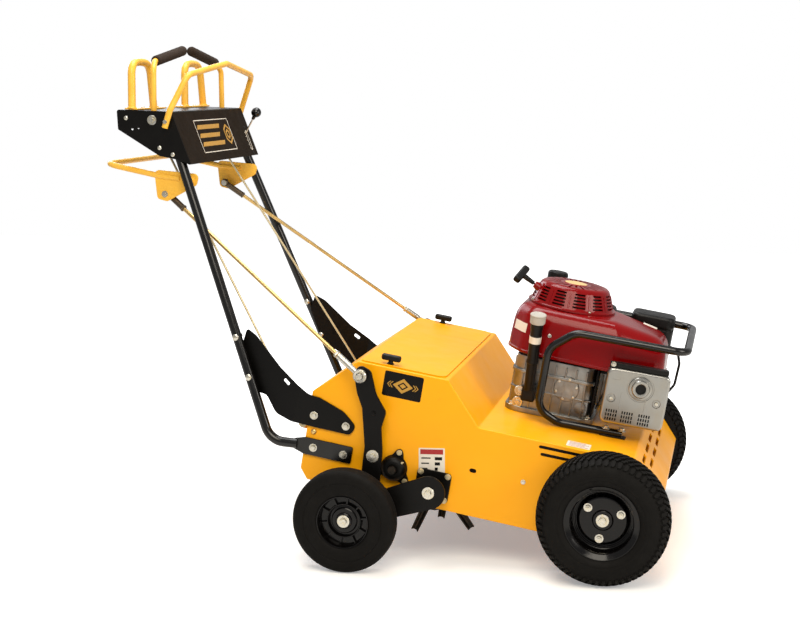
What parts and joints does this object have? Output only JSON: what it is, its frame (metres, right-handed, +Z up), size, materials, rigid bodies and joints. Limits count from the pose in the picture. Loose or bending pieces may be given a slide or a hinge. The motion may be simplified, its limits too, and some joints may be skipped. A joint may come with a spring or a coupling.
{
  "type": "lawn aerator",
  "caption": "Walk-behind core lawn aerator: steel hood over a tine rotor, petrol engine, pneumatic wheels, rear lift wheels and an upright handle with console.",
  "frame": {"origin": "middle of the machine's bounding box, on the ground that its four wheels stand on", "axes": "+X forward towards the engine, +Y to the machine's left, +Z up"},
  "size_m": [1.5347, 1.012, 1.3003],
  "materials": {
    "black_plastic": "moulded",
    "black_powder_coat": "semi-gloss powder coat",
    "black_rubber": "matt rubber",
    "black_wheel_paint": "gloss paint",
    "bright_steel": "zinc plated",
    "cast_aluminium": "as cast",
    "dark_tine_steel": "forged, dark",
    "drive_belt_rubber": "matt rubber",
    "grey_cap_plastic": "moulded",
    "grip_foam": "foam rubber",
    "muffler_steel": "pressed, satin",
    "red_shroud_paint": "gloss paint",
    "yellow_powder_coat": "semi-gloss powder coat",
    "yellow_zinc": "zinc plated and yellow passivated"
  },
  "bodies": {
    "chassis": {"body_shell": "yellow_powder_coat", "front_axle": "bright_steel", "console_housing": "black_powder_coat", "console_loop": "yellow_powder_coat", "crankcase": "cast_aluminium", "engine_shroud": "red_shroud_paint", "recoil_cover": "red_shroud_paint", "oil_filler_tube": "black_plastic", "muffler_shield": "muffler_steel", "guard_bar": "black_powder_coat", "air_cleaner": "black_plastic", "fuel_tank": "black_plastic", "spark_lead": "black_plastic", "idler_bearing": "black_powder_coat", "drive_chain": "dark_tine_steel", "drive_belt": "drive_belt_rubber", "right_handle_tube": "black_powder_coat", "right_gusset": "black_powder_coat", "right_hand_loop": "yellow_powder_coat", "right_rotor_bearing": "black_powder_coat", "left_handle_tube": "black_powder_coat", "left_gusset": "black_powder_coat", "left_hand_loop": "yellow_powder_coat", "left_rotor_bearing": "black_powder_coat"},
    "lid": {"hood_lid": "yellow_powder_coat"},
    "right_knob": {"right_lid_knob": "black_plastic"},
    "left_knob": {"left_lid_knob": "black_plastic"},
    "bail": {"lift_bail": "yellow_powder_coat"},
    "right_front_wheel": {"right_front_rim": "black_wheel_paint", "right_front_tyre": "black_rubber"},
    "right_arm": {"right_lift_arm": "black_powder_coat"},
    "right_rear_wheel": {"right_rear_rim": "black_wheel_paint", "right_rear_tyre": "black_rubber"},
    "right_lever": {"right_lift_lever": "black_powder_coat"},
    "right_rod": {"right_lift_rod": "yellow_zinc"},
    "right_control": {"right_control_lever": "yellow_powder_coat", "right_grip": "grip_foam"},
    "right_pull_rod": {"right_control_rod": "yellow_zinc"},
    "left_front_wheel": {"left_front_rim": "black_wheel_paint", "left_front_tyre": "black_rubber"},
    "left_arm": {"left_lift_arm": "black_powder_coat"},
    "left_rear_wheel": {"left_rear_rim": "black_wheel_paint", "left_rear_tyre": "black_rubber"},
    "left_lever": {"left_lift_lever": "black_powder_coat"},
    "left_rod": {"left_lift_rod": "yellow_zinc"},
    "left_control": {"left_control_lever": "yellow_powder_coat", "left_grip": "grip_foam"},
    "left_pull_rod": {"left_control_rod": "yellow_zinc"},
    "throttle": {"throttle_lever": "black_powder_coat"},
    "starter_grip": {"recoil_grip": "black_plastic"},
    "dipstick_cap": {"oil_cap": "grey_cap_plastic"},
    "tank_cap": {"fuel_cap": "black_plastic"},
    "rotor": {"tine_shaft": "dark_tine_steel", "tine_reel_1": "dark_tine_steel", "tine_reel_2": "dark_tine_steel", "tine_reel_3": "dark_tine_steel", "tine_reel_4": "dark_tine_steel"},
    "cross": {"cross_shaft": "bright_steel"},
    "idler": {"idler_sprocket": "bright_steel"},
    "crank": {"engine_pulley": "bright_steel"}
  },
  "joints": [
    {"name": "lid_lift_off", "type": "slide", "parent": "chassis", "child": "lid", "axis": [0.165, 0, 0.9863], "range_m": [0, 0.06]},
    {"name": "right_knob_turn", "type": "hinge", "parent": "lid", "child": "right_knob", "pos_m": [0.0297, -0.339, 0.49708], "axis": [0.165, 0, 0.9863], "range_deg": [0, 90]},
    {"name": "left_knob_turn", "type": "hinge", "parent": "lid", "child": "left_knob", "pos_m": [0.0297, 0.339, 0.49708], "axis": [0.165, 0, 0.9863], "range_deg": [0, 90]},
    {"name": "bail_lift", "type": "hinge", "parent": "chassis", "child": "bail", "pos_m": [-0.52485, 0, 0.94576], "axis": [0, 1, 0], "range_deg": [0, 22]},
    {"name": "right_front_wheel_spin", "type": "hinge", "parent": "chassis", "child": "right_front_wheel", "pos_m": [0.578, -0.433, 0.1625], "axis": [0, 1, 0], "continuous": true},
    {"name": "right_arm_swing", "type": "hinge", "parent": "chassis", "child": "right_arm", "pos_m": [0.14442, -0.416, 0.19501], "axis": [0, 1, 0], "range_deg": [0, 33]},
    {"name": "right_rear_wheel_spin", "type": "hinge", "parent": "right_arm", "child": "right_rear_wheel", "pos_m": [-0.054, -0.475, 0.13], "axis": [0, 1, 0], "continuous": true},
    {"name": "right_lever_swing", "type": "hinge", "parent": "chassis", "child": "right_lever", "pos_m": [-0.00102, -0.4, 0.27714], "axis": [0, 1, 0], "range_deg": [-11.4, 0]},
    {"name": "right_rod_swing", "type": "hinge", "parent": "bail", "child": "right_rod", "pos_m": [-0.59573, -0.227, 0.90997], "axis": [0, 1, 0], "range_deg": [-18, 0]},
    {"name": "right_control_squeeze", "type": "hinge", "parent": "chassis", "child": "right_control", "pos_m": [-0.61467, -0.266, 1.0997], "axis": [0, -1, 0], "range_deg": [0, 12], "stiffness_Nm_per_rad": 2, "springref_deg": -20.05},
    {"name": "right_pull_rod_slide", "type": "slide", "parent": "chassis", "child": "right_pull_rod", "axis": [0.4867, 0, -0.8736], "range_m": [0, 0.006]},
    {"name": "left_front_wheel_spin", "type": "hinge", "parent": "chassis", "child": "left_front_wheel", "pos_m": [0.578, 0.433, 0.1625], "axis": [0, 1, 0], "continuous": true},
    {"name": "left_arm_swing", "type": "hinge", "parent": "chassis", "child": "left_arm", "pos_m": [0.14442, 0.416, 0.19501], "axis": [0, 1, 0], "range_deg": [0, 33]},
    {"name": "left_rear_wheel_spin", "type": "hinge", "parent": "left_arm", "child": "left_rear_wheel", "pos_m": [-0.054, 0.475, 0.13], "axis": [0, 1, 0], "continuous": true},
    {"name": "left_lever_swing", "type": "hinge", "parent": "chassis", "child": "left_lever", "pos_m": [-0.00102, 0.4, 0.27714], "axis": [0, 1, 0], "range_deg": [-11.4, 0]},
    {"name": "left_rod_swing", "type": "hinge", "parent": "bail", "child": "left_rod", "pos_m": [-0.59573, 0.227, 0.90997], "axis": [0, 1, 0], "range_deg": [-18, 0]},
    {"name": "left_control_squeeze", "type": "hinge", "parent": "chassis", "child": "left_control", "pos_m": [-0.61467, 0.266, 1.0997], "axis": [0, -1, 0], "range_deg": [0, 12], "stiffness_Nm_per_rad": 2, "springref_deg": -20.05},
    {"name": "left_pull_rod_slide", "type": "slide", "parent": "chassis", "child": "left_pull_rod", "axis": [0.4867, 0, -0.8736], "range_m": [0, 0.006]},
    {"name": "throttle_swing", "type": "hinge", "parent": "chassis", "child": "throttle", "pos_m": [-0.55982, 0.2435, 1.00941], "axis": [0, 1, 0], "range_deg": [0, 48]},
    {"name": "starter_pull", "type": "slide", "parent": "chassis", "child": "starter_grip", "axis": [-0.8141, 0, 0.5807], "range_m": [0, 0.1], "stiffness_N_per_m": 60, "springref_m": -0.2},
    {"name": "oil_cap_turn", "type": "hinge", "parent": "chassis", "child": "dipstick_cap", "pos_m": [0.37796, -0.178, 0.59089], "axis": [0.1305, -0.1536, 0.9795], "range_deg": [0, 90]},
    {"name": "fuel_cap_turn", "type": "hinge", "parent": "chassis", "child": "tank_cap", "pos_m": [0.38804, 0.145, 0.66322], "axis": [0.165, 0, 0.9863], "range_deg": [0, 90]},
    {"name": "rotor_spin", "type": "hinge", "parent": "chassis", "child": "rotor", "pos_m": [0.14442, 0, 0.19501], "axis": [0, 1, 0], "continuous": true},
    {"name": "cross_spin", "type": "hinge", "parent": "chassis", "child": "cross", "pos_m": [-0.02318, 0, 0.32647], "axis": [0, 1, 0], "continuous": true},
    {"name": "idler_spin", "type": "hinge", "parent": "chassis", "child": "idler", "pos_m": [0.0468, -0.345, 0.24176], "axis": [0, 1, 0], "continuous": true},
    {"name": "crank_spin", "type": "hinge", "parent": "chassis", "child": "crank", "pos_m": [0.39355, 0, 0.30236], "axis": [0.165, 0, 0.9863], "continuous": true}
  ],
  "couplings": [
    {"joint": "right_arm_swing", "follows": "bail_lift", "ratio": 1.5},
    {"joint": "right_lever_swing", "follows": "bail_lift", "ratio": -0.518},
    {"joint": "right_rod_swing", "follows": "bail_lift", "ratio": -0.818},
    {"joint": "right_pull_rod_slide", "follows": "right_control_squeeze", "m_per_rad": 0.028},
    {"joint": "left_arm_swing", "follows": "bail_lift", "ratio": 1.5},
    {"joint": "left_lever_swing", "follows": "bail_lift", "ratio": -0.518},
    {"joint": "left_rod_swing", "follows": "bail_lift", "ratio": -0.818},
    {"joint": "left_pull_rod_slide", "follows": "left_control_squeeze", "m_per_rad": 0.028},
    {"joint": "cross_spin", "follows": "rotor_spin", "ratio": 2.4},
    {"joint": "idler_spin", "follows": "rotor_spin", "ratio": 2.8571},
    {"joint": "crank_spin", "follows": "rotor_spin", "ratio": -2.7}
  ]
}
